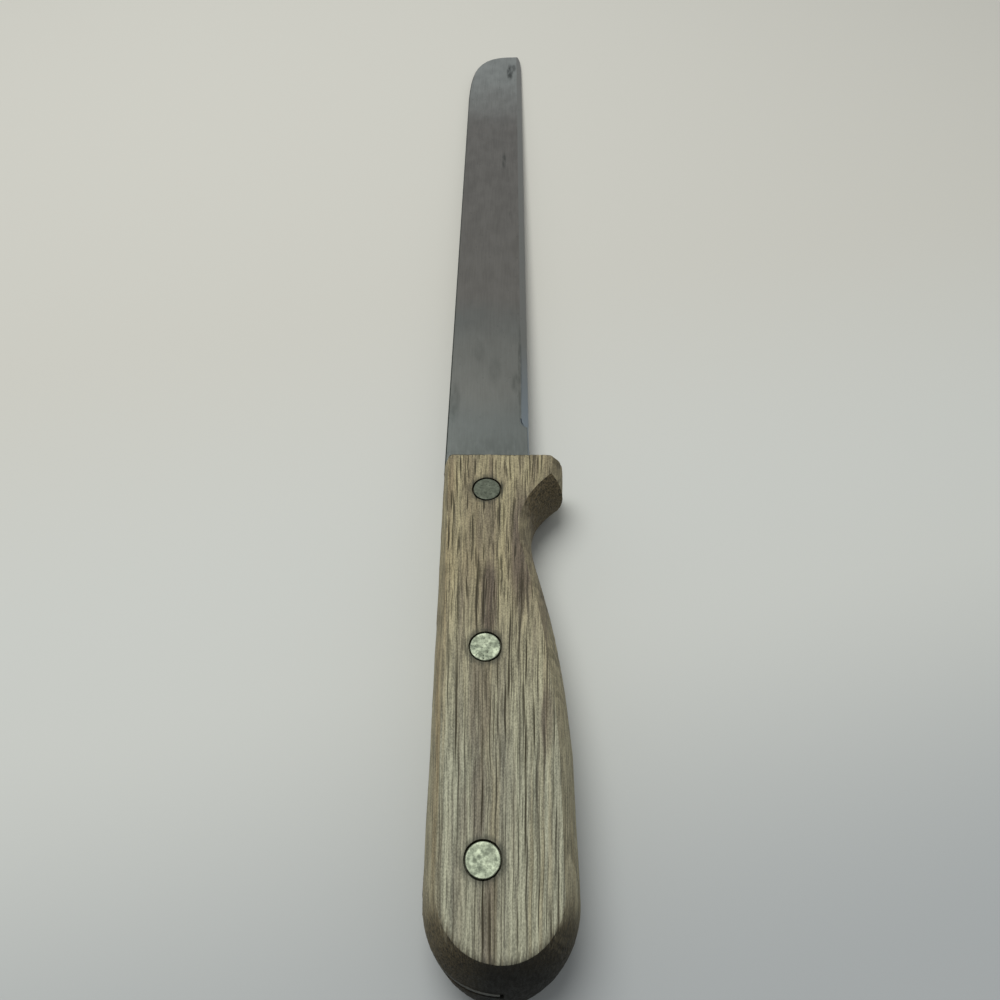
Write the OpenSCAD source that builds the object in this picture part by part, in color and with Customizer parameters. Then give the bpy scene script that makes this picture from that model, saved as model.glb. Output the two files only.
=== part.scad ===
// Slicing knife with a riveted wooden handle, lying on its side.
// Origin: centre of the overall box, on the plane of the handle's lower face.
// +Y runs from the butt to the tip, +X from the spine to the cutting edge, +Z up through the thickness.

/* [Blade] */
// Length of the blade from the handle's front face to the tip
blade_len = 254; // [150:1:320]
// Thickness of the steel blank
blade_t = 1.6; // [1:0.1:3]
// Width of the blade at the heel, from spine to cutting edge
heel_w = 24; // [20:0.1:28]
// Width of the blade where the tip's rounding begins
tip_w = 23.2; // [18:0.1:28]
// Gap between the heel's shoulder and the handle's front face
heel_gap = 0.2; // [0:0.05:0.5]

/* [Tip] */
// Length of the spine's curve down to the tip
tip_curve_len = 48; // [20:1:80]
// Length of the square end between the two rounded corners
tip_flat = 1.2; // [0.5:0.1:6]
// Length of the rounded corner on the edge side
tip_corner_len = 12.5; // [3:0.5:20]
// Width of the rounded corner on the edge side
tip_corner_w = 2.2; // [1:0.1:5]

/* [Cutting edge] */
// Width of the ground bevel on each side
bevel_w = 2.1; // [1:0.1:4]
// Thickness left at the very edge
edge_t = 0.15; // [0.1:0.05:0.5]
// Unground length in front of the handle
ricasso_len = 18; // [5:1:40]
// Length over which the bevel runs out to the edge at the ricasso
plunge_len = 4; // [1:0.5:10]

/* [Tang] */
// Width of the tang inside the handle
tang_w = 16.8; // [15:0.1:19]
// How far the tang lies below the wood's outline at the back and the butt
tang_set = 0.15; // [0.05:0.05:0.5]

/* [Handle] */
// Length of the handle
handle_len = 126.5; // [110:0.5:160]
// Thickness of the handle between its two flat faces
handle_t = 19; // [14:0.5:26]
// Greatest width, at the lug, from the back
lug_w = 33; // [30:0.1:40]
// Length of the lug's outer side
lug_len = 8; // [5:0.5:15]
// Width at the neck behind the lug
neck_w = 24.2; // [21:0.1:28]
// Distance of the neck from the front face
neck_at = 24.2; // [20:0.1:32]
// Width across the belly and the butt, from the spine's line
belly_w = 32.7; // [28:0.1:38]
// Length of the straight stretch of belly in front of the butt
belly_flat = 19; // [4:0.5:24]
// How far the back falls away from the spine's line at the butt
back_fall = 1.15; // [0:0.05:3]

/* [Butt] */
// Length of the half-oval butt
butt_len = 17; // [10:0.5:25]
// Distance of the oval's middle from the spine's line
butt_mid = 17.1; // [14:0.1:20]

/* [Rounded sides] */
// How far the back's bow stands out beyond the flat faces at the front
back_bow_front = 1.7; // [0.5:0.1:4]
// The same at the rear end of the back
back_bow_rear = 3.2; // [0.5:0.1:4]
// The same along the edge side
edge_bow = 3.5; // [1:0.1:4]
// The same at the front end of the lug
lug_bow = 2.6; // [1:0.1:4]
// How squarely the bow turns in at the front end of the lug, from an even bow at 2
lug_full = 5; // [2:0.5:8]
// How far the end of the butt stands out beyond the upper flat face
butt_bow = 4.5; // [1:0.1:6]
// How far below the middle the end of the butt stands out furthest
butt_low = 6.5; // [0:0.1:9]

/* [Tang slot] */
// Depth of the saw slot from the spine's line
slot_depth = 17.4; // [16:0.1:20]
// Clearance between the tang and each wall of the slot
slot_play = 0.05; // [0.02:0.01:0.2]

/* [Rivets] */
// Distance of the first rivet from the handle's front face
rivet_first = 11.9; // [10:0.1:16]
// Distance from one rivet to the next
rivet_pitch = 46; // [35:0.5:50]
// Distance of the rivets from the handle's back
rivet_in = 12.2; // [11:0.1:13]
// Diameter of the rivet heads
head_d = 7; // [6:0.1:9]
// Thickness of the rivet heads
head_t = 1.3; // [0.8:0.1:2.5]
// Clearance all round a head in its counterbore, which fills with grime
head_play = 0.3; // [0.1:0.05:0.6]
// How far a head lies below the wood
head_set = 0.1; // [0:0.05:0.5]
// Outside diameter of the socket's tube
tube_d = 4.6; // [4:0.1:5.2]
// Diameter of the post's shank
shank_d = 3; // [2:0.1:3.4]
// Radial clearance of the shank in the tube
shank_play = 0.03; // [0.01:0.01:0.1]
// Radial clearance of the tube in the wood
tube_play = 0.05; // [0.01:0.01:0.2]
// Radial clearance of the tube in the tang's hole
tang_hole_play = 0.3; // [0.1:0.05:0.6]
// Distance between each part's end and the other part's head
end_gap = 0.4; // [0.1:0.1:1]

/* [Hidden] */
$fn = 64;
over = 1;
steel = "#74787a";
wood = "#8f8668";
alloy = "#8c9183";
curve_steps = 12;
bow_steps = 10;
overall_w = max(lug_w, belly_w);
mid_z = handle_t / 2;
notch_len = neck_at - lug_len;
notch_drop = lug_w - neck_w;
butt_at = handle_len - butt_len;
belly_at = butt_at - belly_flat;
swell_len = belly_at - neck_at;
slot_t = blade_t + 2 * slot_play;
edge_run = blade_len - tip_corner_len - heel_gap;
edge_lean = atan((heel_w - tip_w) / edge_run);
bevel_h = (blade_t - edge_t) / 2;
tube_r = tube_d / 2;
bore_r = tube_r + tube_play;
seat_r = head_d / 2 + head_play;
seat_t = head_t + head_set;
post_len = handle_t - 2 * seat_t - end_gap;

// Point at t on the curve that leaves a towards b and comes to d from c
function bez(a, b, c, d, t) =
    pow(1 - t, 3) * a + 3 * pow(1 - t, 2) * t * b + 3 * (1 - t) * t * t * c + pow(t, 3) * d;
function bez_dir(a, b, c, d, t) = pow(1 - t, 2) * (b - a) + 2 * (1 - t) * t * (c - b) + t * t * (d - c);
function bez_line(a, b, c, d) = [for (i = [0 : curve_steps]) bez(a, b, c, d, i / curve_steps)];
function unit(v) = v / norm(v);
// Inward side of an outline that runs anticlockwise, seen from above
function inward(v) = unit([-v[1], v[0]]);

// The handle's widest outline, a list of [point, inward direction, bow, depth below the middle, fullness].
// It starts at the front end of the back and runs down the back, round the butt and up the edge side.
function curve_part(a, b, c, d, first, last) =
    [for (i = [first : last]) let (t = i / curve_steps)
        [bez(a, b, c, d, t), inward(bez_dir(a, b, c, d, t)), edge_bow, 0, 2]];
function butt_part() =
    [for (i = [0 : 3 * curve_steps])
        let (a = 60 * i / curve_steps,
             half_w = a < 90 ? butt_mid - back_fall : belly_w - butt_mid,
             side_bow = a < 90 ? back_bow_rear : edge_bow)
        [[butt_mid - half_w * cos(a), -butt_at - butt_len * sin(a)],
         unit([cos(a) / half_w, sin(a) / butt_len]),
         side_bow + (butt_bow - side_bow) * pow(sin(a), 2),
         butt_low * pow(sin(a), 4), 2]];
neck = [neck_w, -neck_at];
lug_rear = [lug_w, -lug_len];
lug_turn = [lug_w - 0.54 * notch_drop, -lug_len - 0.24 * notch_len];
notch_side = inward(lug_rear - lug_turn);
lug_side = [-1, 0];
outline = concat(
    [[[0, 0], [1, 0], back_bow_front, 0, 2]],
    butt_part(),
    curve_part([belly_w, -belly_at], [belly_w, -belly_at + 0.58 * swell_len],
               [neck_w, -neck_at - 0.13 * swell_len], neck, 0, curve_steps),
    curve_part(neck, [neck_w, -neck_at + 0.42 * notch_len], lug_turn, lug_rear, 1, curve_steps - 1),
    [[lug_rear, (notch_side + lug_side) / (1 + notch_side * lug_side), edge_bow, 0, 2]],
    [[[lug_w, 0], lug_side, lug_bow, 0, lug_full]]);

// How far a side has fallen back at height z from the middle. The bow is its fall at the upper face,
// and it stands out furthest at the depth low below the middle. It is an arc at a fullness of 2.
function fall(bow, low, full, z) =
    let (h = mid_z + low, r = (h * h + bow * bow) / (2 * bow))
    full > 2 ? bow * pow(abs(z + low) / h, full) : r - sqrt(r * r - pow(z + low, 2));
// Outline point e moved in to the wood's surface at that height, and further in by set
function at_level(e, z, set = 0) = e[0] + e[1] * (set + fall(e[2], e[3], e[4], z));

// Block of wood with flat faces and bowed sides, before the slot and the bores.
// Each flat face is a fan of triangles round a point level with the lug, which sees the whole outline.
module bowed_block() {
    n = len(outline);
    levels = [for (k = [0 : bow_steps]) mid_z * (2 * k / bow_steps - 1)];
    rings = [for (z = levels) for (e = outline) let (p = at_level(e, z)) [p[0], p[1], mid_z + z]];
    hubs = [for (z = [0, handle_t]) [neck_w / 2, -lug_len, z]];
    sides = [for (k = [0 : bow_steps - 1]) for (i = [0 : n - 1])
        let (a = k * n + i, b = k * n + (i + 1) % n) each [[a, a + n, b + n], [a, b + n, b]]];
    top = bow_steps * n;
    hub = len(rings);
    flats = [for (i = [0 : n - 1])
        let (j = (i + 1) % n) each [[i, j, hub], [top + j, top + i, hub + 1]]];
    polyhedron(points = concat(rings, hubs), faces = concat(sides, flats));
}

// Children are set at each rivet's axis, from front to rear
module at_rivet(i) {
    y = rivet_first + i * rivet_pitch;
    translate([back_fall * y / butt_at + rivet_in, -y, 0]) children();
}

// The whole knife's box is centred over the origin
module in_frame() {
    translate([-overall_w / 2, (handle_len - blade_len) / 2, 0]) children();
}

module tang_shape() {
    intersection() {
        polygon([for (e = outline) at_level(e, 0, tang_set)]);
        translate([0, -handle_len]) square([tang_w, handle_len + over]);
    }
    translate([tang_set, -over]) square([tang_w - tang_set, 2 * over + heel_gap]);
}

module blade_shape() {
    end_x = tip_w - tip_corner_w - tip_flat;
    corner_x = tip_w - tip_corner_w;
    polygon(concat(
        [[heel_w, heel_gap], [0, heel_gap]],
        bez_line([0, blade_len - tip_curve_len], [0, blade_len - 0.27 * tip_curve_len],
                 [0.14 * end_x, blade_len], [end_x, blade_len]),
        bez_line([corner_x, blade_len], [corner_x + 0.6 * tip_corner_w, blade_len],
                 [tip_w - 0.1 * tip_corner_w, blade_len - 0.33 * tip_corner_len],
                 [tip_w, blade_len - tip_corner_len])));
}

// Wedge that grinds the upper bevel, with the straight edge along Y at x = 0
module bevel_wedge() {
    run = blade_len + over;
    slope = bevel_h / bevel_w;
    intersection() {
        translate([0, run, 0]) rotate([90, 0, 0]) linear_extrude(run)
            polygon([[-bevel_w, blade_t / 2], [over, edge_t / 2 - over * slope],
                     [over, blade_t / 2 + over], [-bevel_w, blade_t / 2 + over]]);
        linear_extrude(blade_t)
            polygon(concat(
                bez_line([over, ricasso_len], [-0.8 * bevel_w, ricasso_len],
                         [-bevel_w, ricasso_len + 0.4 * plunge_len], [-bevel_w, ricasso_len + plunge_len]),
                [[-bevel_w, run], [over, run]]));
    }
}

module blade() color(steel) in_frame() difference() {
    translate([0, 0, mid_z - blade_t / 2]) union() {
        linear_extrude(blade_t) tang_shape();
        linear_extrude(blade_t) blade_shape();
    }
    for (side = [0, 1]) translate([heel_w, heel_gap, mid_z]) mirror([0, 0, side])
        rotate([0, 0, edge_lean]) bevel_wedge();
    for (i = [0 : 2]) at_rivet(i) translate([0, 0, mid_z - blade_t])
        cylinder(r = tube_r + tang_hole_play, h = 2 * blade_t);
}

module handle() color(wood) in_frame() difference() {
    bowed_block();
    translate([-over, -handle_len - over, mid_z - slot_t / 2])
        cube([slot_depth + over, handle_len + 2 * over, slot_t]);
    for (i = [0 : 2]) at_rivet(i) {
        translate([0, 0, -over]) cylinder(r = bore_r, h = handle_t + 2 * over);
        translate([0, 0, -over]) cylinder(r = seat_r, h = seat_t + over);
        translate([0, 0, handle_t - seat_t]) cylinder(r = seat_r, h = seat_t + over);
    }
}

module rivet_post(i) color(alloy) in_frame() at_rivet(i) {
    translate([0, 0, handle_t - seat_t]) cylinder(d = head_d, h = head_t);
    translate([0, 0, handle_t - seat_t - post_len]) cylinder(d = shank_d, h = post_len + head_t / 2);
}

module rivet_socket(i) color(alloy) in_frame() at_rivet(i) {
    translate([0, 0, head_set]) cylinder(d = head_d, h = head_t);
    difference() {
        translate([0, 0, seat_t - head_t / 2]) cylinder(r = tube_r, h = post_len + head_t / 2);
        translate([0, 0, seat_t]) cylinder(r = shank_d / 2 + shank_play, h = post_len + over);
    }
}

module front_rivet_post() rivet_post(0);
module front_rivet_socket() rivet_socket(0);
module middle_rivet_post() rivet_post(1);
module middle_rivet_socket() rivet_socket(1);
module rear_rivet_post() rivet_post(2);
module rear_rivet_socket() rivet_socket(2);

blade();
handle();
front_rivet_post();
front_rivet_socket();
middle_rivet_post();
middle_rivet_socket();
rear_rivet_post();
rear_rivet_socket();
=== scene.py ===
"""An old slicing knife lying on its side: a stained stainless blade in a riveted, dried-out wooden handle.

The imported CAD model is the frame. The worn wood, the ground steel and the rivets are made around it here.
Lengths are metres, with +Y from butt to tip, +X from spine to cutting edge and +Z up.
"""
import math

import bmesh
import bpy
from bpy.props import FloatProperty, FloatVectorProperty, IntProperty, PointerProperty
from bpy.types import NodeSocket, Operator, Panel, PropertyGroup
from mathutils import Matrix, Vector


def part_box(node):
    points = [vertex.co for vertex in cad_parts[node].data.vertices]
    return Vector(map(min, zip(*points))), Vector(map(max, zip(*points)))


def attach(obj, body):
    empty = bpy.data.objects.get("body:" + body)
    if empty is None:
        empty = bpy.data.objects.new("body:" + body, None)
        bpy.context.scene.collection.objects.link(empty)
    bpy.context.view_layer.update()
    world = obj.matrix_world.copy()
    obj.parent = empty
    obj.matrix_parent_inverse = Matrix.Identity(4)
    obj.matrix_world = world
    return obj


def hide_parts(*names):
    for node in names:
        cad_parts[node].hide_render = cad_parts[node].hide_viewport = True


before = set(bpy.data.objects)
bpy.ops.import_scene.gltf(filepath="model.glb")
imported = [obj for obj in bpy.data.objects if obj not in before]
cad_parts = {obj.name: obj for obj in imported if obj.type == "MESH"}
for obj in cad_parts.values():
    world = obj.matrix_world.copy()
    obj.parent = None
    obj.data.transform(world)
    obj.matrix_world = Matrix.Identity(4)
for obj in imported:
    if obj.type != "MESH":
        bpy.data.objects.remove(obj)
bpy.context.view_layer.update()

bl_info = {
    "name": "Old Slicing Knife",
    "version": (1, 0, 0),
    "blender": (4, 5, 0),
    "location": "3D View > Sidebar > Knife",
    "description": "Builds the worn handle, blade and rivets of a slicing knife around its CAD frame",
    "category": "Add Mesh",
}

MM = 0.001
GRIP_LOW, GRIP_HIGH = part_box("handle")
BLADE_LOW, BLADE_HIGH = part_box("blade")
RIVET_PLACES = ("front", "middle", "rear")
RIVET_AXES = [sum(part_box(f"{place}_rivet_post"), Vector()) / 2 for place in RIVET_PLACES]
GRIP_MIDDLE = (GRIP_LOW.z + GRIP_HIGH.z) / 2

# How near to a plane a point counts as lying in it, and the least angle at an edge that counts as a corner
NEAR = 0.01 * MM
CORNER = math.radians(60)

# The largest angle between faces that are shaded as one rounded surface
SOFT_ANGLE = math.radians(35)

# The kinds of node used most
MATH = "ShaderNodeMath"
VECTOR_MATH = "ShaderNodeVectorMath"
SEPARATE = "ShaderNodeSeparateXYZ"
MAP_RANGE = "ShaderNodeMapRange"
MIX = "ShaderNodeMix"
# A range with soft ends
SMOOTH = {"interpolation_type": "SMOOTHSTEP"}
# A mix of colours, and the numbers of its two inputs
RGBA = {"data_type": "RGBA", "output": 2}
MIX_A, MIX_B = 6, 7


def linear(code):
    """The linear colour, with alpha, of an sRGB hex code."""
    levels = [int(code[i:i + 2], 16) / 255 for i in (1, 3, 5)]
    return [v / 12.92 if v <= 0.04045 else ((v + 0.055) / 1.055) ** 2.4 for v in levels] + [1.0]


def add(tree, kind, inputs=None, output=0, **settings):
    """Adds a node with its settings, and links or sets its inputs. Returns an output, if it has any."""
    node = tree.nodes.new(kind)
    for name, value in settings.items():
        setattr(node, name, value)
    for socket, value in (inputs or {}).items():
        if isinstance(value, NodeSocket):
            tree.links.new(value, node.inputs[socket])
        else:
            node.inputs[socket].default_value = value
    return node.outputs[output] if node.outputs else None


def blank_material(name):
    """A new material and its node tree, which is still empty."""
    material = bpy.data.materials.new(name)
    material.use_nodes = True
    material.node_tree.nodes.clear()
    return material, material.node_tree


class KnifeHandleSettings(PropertyGroup):
    arris_wear: FloatProperty(
        name="Arris wear", description="Width of the worn rounding along the handle's arrises",
        default=0.4 * MM, min=0.1 * MM, max=1.5 * MM, unit="LENGTH", precision=5)
    corner_wear: FloatProperty(
        name="Corner wear", description="Width of the rounding on the two upright corners at the front",
        default=1.2 * MM, min=0.1 * MM, max=2 * MM, unit="LENGTH", precision=5)
    mesh_across: FloatProperty(
        name="Mesh across", description="Spacing of the mesh across the grain",
        default=0.25 * MM, min=0.1 * MM, max=2 * MM, unit="LENGTH", precision=5)
    mesh_along: FloatProperty(
        name="Mesh along", description="Spacing of the mesh along the grain",
        default=1.8 * MM, min=0.5 * MM, max=5 * MM, unit="LENGTH", precision=5)
    mesh_up: FloatProperty(
        name="Mesh up", description="Spacing of the mesh through the thickness",
        default=0.6 * MM, min=0.2 * MM, max=3 * MM, unit="LENGTH", precision=5)
    pore_depth: FloatProperty(
        name="Pore depth", description="Depth of the open pores and cracks in the wood",
        default=0.12 * MM, min=0, max=0.4 * MM, unit="LENGTH", precision=5)
    wear_depth: FloatProperty(
        name="Wear depth", description="Depth of the shallow unevenness that years of use have left",
        default=0.15 * MM, min=0, max=0.5 * MM, unit="LENGTH", precision=5)
    pale: FloatVectorProperty(
        name="Pale wood", description="Dried fibre between the pores",
        default=linear("#a9a07d"), size=4, min=0, max=1, subtype="COLOR")
    middle: FloatVectorProperty(
        name="Middle wood", description="The wood's most common tone",
        default=linear("#8d8367"), size=4, min=0, max=1, subtype="COLOR")
    brown: FloatVectorProperty(
        name="Brown wood", description="Bands of darker, purplish brown wood",
        default=linear("#62574b"), size=4, min=0, max=1, subtype="COLOR")
    bleached: FloatVectorProperty(
        name="Bleached wood", description="Greyer, paler wood towards the butt, washed the most",
        default=linear("#a8aa94"), size=4, min=0, max=1, subtype="COLOR")
    warm: FloatVectorProperty(
        name="Warm wood", description="Patches along the back that have kept the wood's first colour",
        default=linear("#94784c"), size=4, min=0, max=1, subtype="COLOR")
    side: FloatVectorProperty(
        name="Side wood", description="Olive brown wood on the rounded sides, dirty from hands",
        default=linear("#938a6e"), size=4, min=0, max=1, subtype="COLOR")
    pore: FloatVectorProperty(
        name="Open pores", description="Dirt in the open pores and fine cracks",
        default=linear("#2f2a19"), size=4, min=0, max=1, subtype="COLOR")
    # Near-black for soaked end grain, and also painted shade on the butt, in the notch and in the tang's slot
    end_grain_and_shade: FloatVectorProperty(
        name="End grain", description="Soaked, nearly black end grain at the butt and in the notch",
        default=linear("#11120d"), size=4, min=0, max=1, subtype="COLOR")
    end_fibre: FloatVectorProperty(
        name="End fibre", description="Brown specks of cleaner fibre in the end grain",
        default=linear("#6b5f45"), size=4, min=0, max=1, subtype="COLOR")
    grime: FloatVectorProperty(
        name="Grime", description="Greenish black grime round the rivets",
        default=linear("#20261f"), size=4, min=0, max=1, subtype="COLOR")


class KnifeBladeSettings(PropertyGroup):
    edge_round: FloatProperty(
        name="Edge rounding", description="Width of the rounding along the spine and the tip",
        default=0.5 * MM, min=0.05 * MM, max=0.6 * MM, unit="LENGTH", precision=5)
    body: FloatVectorProperty(
        name="Blade face", description="Dull grey of the worn steel along the middle of the blade",
        default=linear("#706e68"), size=4, min=0, max=1, subtype="COLOR")
    tip: FloatVectorProperty(
        name="Tip", description="Paler, cooler steel towards the tip",
        default=linear("#8e928d"), size=4, min=0, max=1, subtype="COLOR")
    heel: FloatVectorProperty(
        name="Heel", description="Slightly green grey of the steel at the heel",
        default=linear("#666a66"), size=4, min=0, max=1, subtype="COLOR")
    blued: FloatVectorProperty(
        name="Bevel at the heel", description="Bluish steel where the bevel runs out",
        default=linear("#8c969a"), size=4, min=0, max=1, subtype="COLOR")
    # Brighter for the fresh grinding and, partly, as a painted reflection
    ground_and_sheen: FloatVectorProperty(
        name="Bevel", description="Brighter steel on the ground bevel",
        default=linear("#82837d"), size=4, min=0, max=1, subtype="COLOR")
    # Also the colour of the painted shade on the rounded spine and tip and in front of the handle
    stain_and_shade: FloatVectorProperty(
        name="Stains", description="Dark oxide stains and the line of tarnish on the spine",
        default=linear("#343a35"), size=4, min=0, max=1, subtype="COLOR")
    # Painted highlight: the lighter, warmer steel a little in front of the heel
    rubbed: FloatVectorProperty(
        name="Rubbed steel", description="Lighter, warmer steel a little in front of the heel",
        default=linear("#7e7c74"), size=4, min=0, max=1, subtype="COLOR")
    rust: FloatVectorProperty(
        name="Tang", description="Dull dark rust on the tang in the wood",
        default=linear("#50514b"), size=4, min=0, max=1, subtype="COLOR")


class KnifeRivetSettings(PropertyGroup):
    head_thickness: FloatProperty(
        name="Head thickness", description="Thickness of the rivet heads",
        default=1.3 * MM, min=0.8 * MM, max=2.5 * MM, unit="LENGTH", precision=5)
    shank_radius: FloatProperty(
        name="Shank radius", description="Radius of the post's shank",
        default=1.5 * MM, min=1 * MM, max=1.7 * MM, unit="LENGTH", precision=5)
    tube_radius: FloatProperty(
        name="Tube radius", description="Outside radius of the socket's tube",
        default=2.3 * MM, min=2 * MM, max=2.6 * MM, unit="LENGTH", precision=5)
    bore_play: FloatProperty(
        name="Bore play", description="Gap all round the shank in the tube",
        default=0.03 * MM, min=0.01 * MM, max=0.1 * MM, unit="LENGTH", precision=5)
    rim_round: FloatProperty(
        name="Rim rounding", description="Width of the rounding round the heads",
        default=0.2 * MM, min=0.05 * MM, max=0.6 * MM, unit="LENGTH", precision=5)
    dent_depth: FloatProperty(
        name="Dent depth", description="Depth of the shallow dents on the heads",
        default=0.05 * MM, min=0, max=0.2 * MM, unit="LENGTH", precision=5)
    sides: IntProperty(
        name="Sides", description="Number of sides round each head", default=96, min=24, max=128)
    bright: FloatVectorProperty(
        name="Bright alloy", description="Rubbed nickel-coloured alloy, faintly green",
        default=linear("#a5ad96"), size=4, min=0, max=1, subtype="COLOR")
    tarnish: FloatVectorProperty(
        name="Tarnish", description="Patchy tarnish on the rubbed heads",
        default=linear("#757d6b"), size=4, min=0, max=1, subtype="COLOR")
    dull: FloatVectorProperty(
        name="Dull head", description="Even grey-green tarnish of the head nearest the blade",
        default=linear("#585d51"), size=4, min=0, max=1, subtype="COLOR")
    fleck: FloatVectorProperty(
        name="Flecks", description="Dirt in the pits of the heads",
        default=linear("#3c4238"), size=4, min=0, max=1, subtype="COLOR")


class KnifeStageSettings(PropertyGroup):
    lens: FloatProperty(
        name="Focal length", description="Focal length that gives the photograph's perspective",
        default=29.52, min=10, max=200, unit="CAMERA")
    pitch: FloatProperty(
        name="Camera pitch", description="How far the camera looks down",
        default=math.radians(52.29), min=0, max=math.radians(90), unit="ROTATION")
    turn: FloatProperty(
        name="Camera turn", description="How far the camera is turned to the left",
        default=math.radians(0.515), min=-1, max=1, unit="ROTATION")
    eye: FloatVectorProperty(
        name="Camera place", description="Where the camera stands, over the butt",
        default=(0.0005, -0.20975, 0.1876), size=3, unit="LENGTH", precision=4)
    floor_far: FloatVectorProperty(
        name="Far floor", description="Pale floor beyond the tip",
        default=linear("#cac9bf"), size=4, min=0, max=1, subtype="COLOR")
    floor_beside: FloatVectorProperty(
        name="Floor beside", description="Cooler floor beside the handle",
        default=linear("#cccec7"), size=4, min=0, max=1, subtype="COLOR")
    # Painted shadow: the floor greys towards the butt end of the knife
    floor_near_shadow: FloatVectorProperty(
        name="Near floor", description="Greyer floor beside the butt",
        default=linear("#adb1b0"), size=4, min=0, max=1, subtype="COLOR")
    lamp_power: FloatProperty(
        name="Lamp power", description="Power of the soft lamp, in watts", default=5.8, min=0, max=50)
    fill: FloatProperty(
        name="Fill light", description="Strength of the soft light from all round",
        default=0.42, min=0, max=2)


def only(piece):
    """Leaves one object selected and active."""
    bpy.ops.object.select_all(action="DESELECT")
    piece.select_set(True)
    bpy.context.view_layer.objects.active = piece


def pick(piece, kind, test):
    """In edit mode, selects just the faces or edges that pass a test."""
    bpy.ops.mesh.select_mode(type=kind)
    bpy.ops.mesh.select_all(action="DESELECT")
    mesh = bmesh.from_edit_mesh(piece.data)
    for part in (mesh.faces if kind == "FACE" else mesh.edges):
        if test(part):
            part.select_set(True)
    bmesh.update_edit_mesh(piece.data)


def edit_all():
    """Opens the active object for editing, with everything in it selected."""
    bpy.ops.object.mode_set(mode="EDIT")
    bpy.ops.mesh.select_all(action="SELECT")


def merged_copy(node, name):
    """A new object with a CAD node's mesh, its loose triangles merged back into whole faces."""
    piece = bpy.data.objects.new(name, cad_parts[node].data.copy())
    bpy.context.scene.collection.objects.link(piece)
    piece.data.name = name
    piece.data.materials.clear()
    only(piece)
    if piece.data.has_custom_normals:
        bpy.ops.mesh.customdata_custom_splitnormals_clear()
    edit_all()
    bpy.ops.mesh.remove_doubles(threshold=0.001 * MM)
    bpy.ops.mesh.dissolve_limited(angle_limit=math.radians(1))
    bpy.ops.object.mode_set(mode="OBJECT")
    return piece


def finish_piece(piece, material, slot, *nodes):
    """Gives a finished piece its material and body, and hides the CAD nodes that it stands for. slot is not
    used.
    """
    piece.data.materials.clear()
    piece.data.materials.append(material)
    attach(piece, "root")
    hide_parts(*nodes)


# Edges of the handle this near to its middle height are the slot's, and those this near to a rivet's axis
# are its seat's
SLOT_ZONE = 1.5 * MM
SEAT_ZONE = 4.5 * MM


def sheltered(edge):
    """Whether an edge of the handle belongs to a rivet's seat or to the tang's slot."""
    return (all(abs(v.co.z - GRIP_MIDDLE) < SLOT_ZONE for v in edge.verts)
            or any(all((v.co - axis).xy.length < SEAT_ZONE for v in edge.verts) for axis in RIVET_AXES))


def slice_mesh(piece, axis, start, end, step):
    """Cuts a mesh by evenly spaced planes across one axis, so that relief has points to move."""
    normal = Vector([float(axis == i) for i in range(3)])
    for number in range(1, int((end - start) / step)):
        bpy.ops.mesh.select_all(action="SELECT")
        bpy.ops.mesh.bisect(plane_co=normal * (start + number * step), plane_no=normal)


# The wood's grain runs a little closer together towards the butt. Grain across, in millimetres, is x divided
# by 1 + GRAIN_SPREAD for each millimetre in front of GRAIN_MIDDLE.
GRAIN_SPREAD = 0.0032
GRAIN_MIDDLE = -115

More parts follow.
